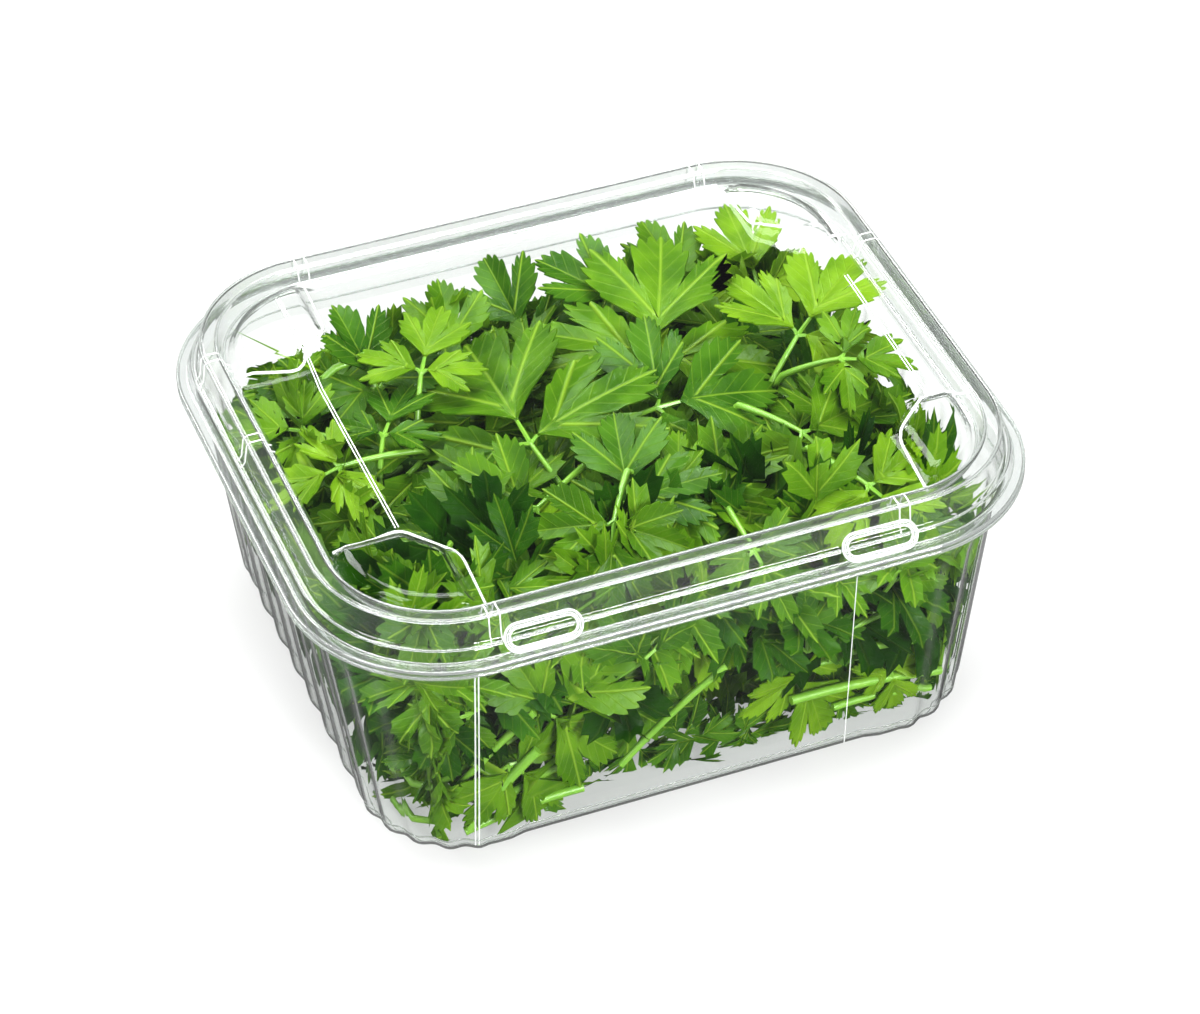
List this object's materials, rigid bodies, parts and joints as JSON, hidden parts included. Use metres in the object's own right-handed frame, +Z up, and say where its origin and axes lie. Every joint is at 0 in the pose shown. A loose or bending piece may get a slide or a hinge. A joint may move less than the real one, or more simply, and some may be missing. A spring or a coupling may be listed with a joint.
{
  "type": "parsley bunch",
  "caption": "Cut flat-leaf parsley heaped in a clear plastic tray whose lid swings up on its back edge and snaps shut on oval front latches.",
  "frame": {"origin": "middle of the tray's flat underside, on the surface it stands on", "axes": "+X along the long side, +Y towards the hinge at the back, +Z up"},
  "size_m": [0.192, 0.161, 0.0821],
  "materials": {
    "clear_sheet": "clear glossy formed sheet",
    "leaf_mid": "fresh satin leaf",
    "leaf_dark": "fresh satin leaf",
    "leaf_bright": "fresh satin leaf",
    "leaf_deep": "fresh satin leaf"
  },
  "bodies": {
    "tray": {"tray": "clear_sheet", "sprig_front_01": "leaf_mid", "sprig_front_02": "leaf_dark", "sprig_front_03": "leaf_bright", "sprig_front_04": "leaf_deep", "sprig_front_05": "leaf_mid", "sprig_front_06": "leaf_dark", "sprig_front_07": "leaf_bright", "sprig_front_08": "leaf_deep", "sprig_front_09": "leaf_mid", "sprig_front_10": "leaf_dark", "sprig_front_11": "leaf_bright", "sprig_front_12": "leaf_deep", "sprig_back_01": "leaf_mid", "sprig_back_02": "leaf_dark", "sprig_back_03": "leaf_bright", "sprig_back_04": "leaf_deep", "sprig_back_05": "leaf_mid", "sprig_left_01": "leaf_dark", "sprig_left_02": "leaf_bright", "sprig_left_03": "leaf_deep", "sprig_right_01": "leaf_mid", "sprig_right_02": "leaf_dark", "sprig_right_03": "leaf_bright", "sprig_top_01": "leaf_deep", "sprig_top_02": "leaf_mid", "sprig_top_03": "leaf_dark", "sprig_top_04": "leaf_bright", "sprig_top_05": "leaf_deep", "sprig_top_06": "leaf_mid", "sprig_top_07": "leaf_dark", "sprig_top_08": "leaf_bright", "sprig_top_09": "leaf_deep", "sprig_top_10": "leaf_mid", "sprig_top_11": "leaf_dark", "sprig_top_12": "leaf_bright", "sprig_top_13": "leaf_deep", "sprig_top_14": "leaf_mid", "sprig_top_15": "leaf_dark", "sprig_top_16": "leaf_bright", "sprig_top_17": "leaf_deep", "sprig_top_18": "leaf_mid", "sprig_top_19": "leaf_dark", "sprig_top_20": "leaf_bright", "sprig_top_21": "leaf_deep", "sprig_top_22": "leaf_mid", "sprig_top_23": "leaf_dark", "sprig_top_24": "leaf_bright", "sprig_top_25": "leaf_deep", "sprig_top_26": "leaf_mid", "sprig_top_27": "leaf_dark", "sprig_top_28": "leaf_bright", "sprig_top_29": "leaf_deep", "sprig_top_30": "leaf_mid", "sprig_top_31": "leaf_dark", "sprig_top_32": "leaf_bright", "sprig_top_33": "leaf_deep", "sprig_top_34": "leaf_mid"},
    "lid": {"lid": "clear_sheet"}
  },
  "joints": [
    {"name": "lid_hinge", "type": "hinge", "parent": "tray", "child": "lid", "pos_m": [0, 0.0808, 0.0705], "axis": [-1, 0, 0], "range_deg": [0, 180]}
  ]
}
